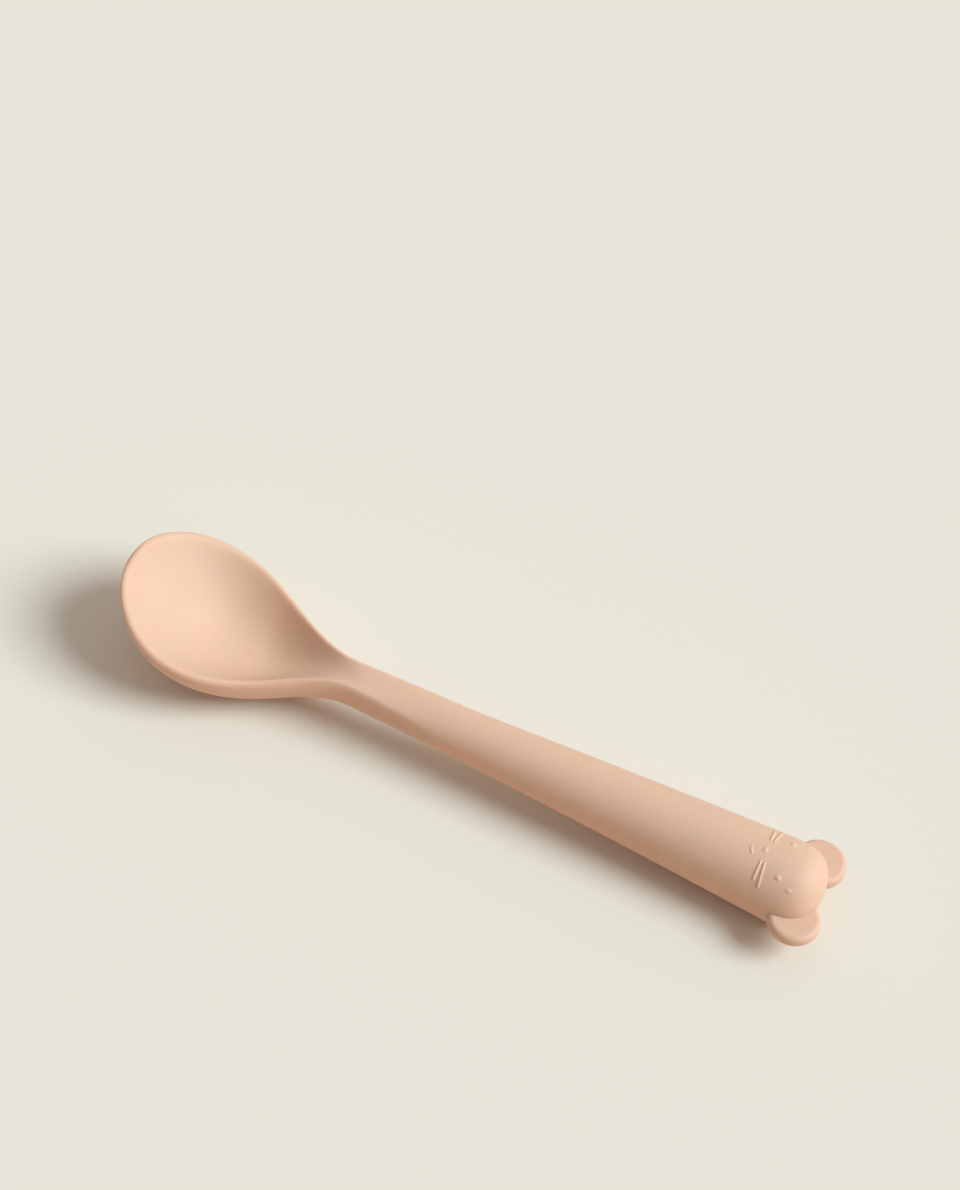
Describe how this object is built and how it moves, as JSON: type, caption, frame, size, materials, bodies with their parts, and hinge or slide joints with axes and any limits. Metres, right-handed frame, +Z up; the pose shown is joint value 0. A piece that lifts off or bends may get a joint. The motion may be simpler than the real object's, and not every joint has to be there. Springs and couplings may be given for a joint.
{
  "type": "baby spoon",
  "caption": "Soft silicone feeding spoon with an oval bowl, a round tapering handle stiffened by an inner core, and a domed animal head with disc ears at its end.",
  "frame": {"origin": "on the table, under the middle of the spoon's length and on its plane of symmetry", "axes": "+X along the spoon from the bowl's tip towards the head, +Z up out of the bowl, +Y to the spoon's left when it is held by the head"},
  "size_m": [0.1518, 0.0328, 0.0211],
  "materials": {
    "body_silicone": "fine matt moulded silicone, warm peach",
    "ear_silicone": "fine matt moulded silicone, warm peach",
    "core_nylon": "natural moulded nylon"
  },
  "bodies": {
    "root": {"silicone_body": "body_silicone", "stem_core": "core_nylon", "left_ear": "ear_silicone", "right_ear": "ear_silicone"}
  },
  "joints": []
}
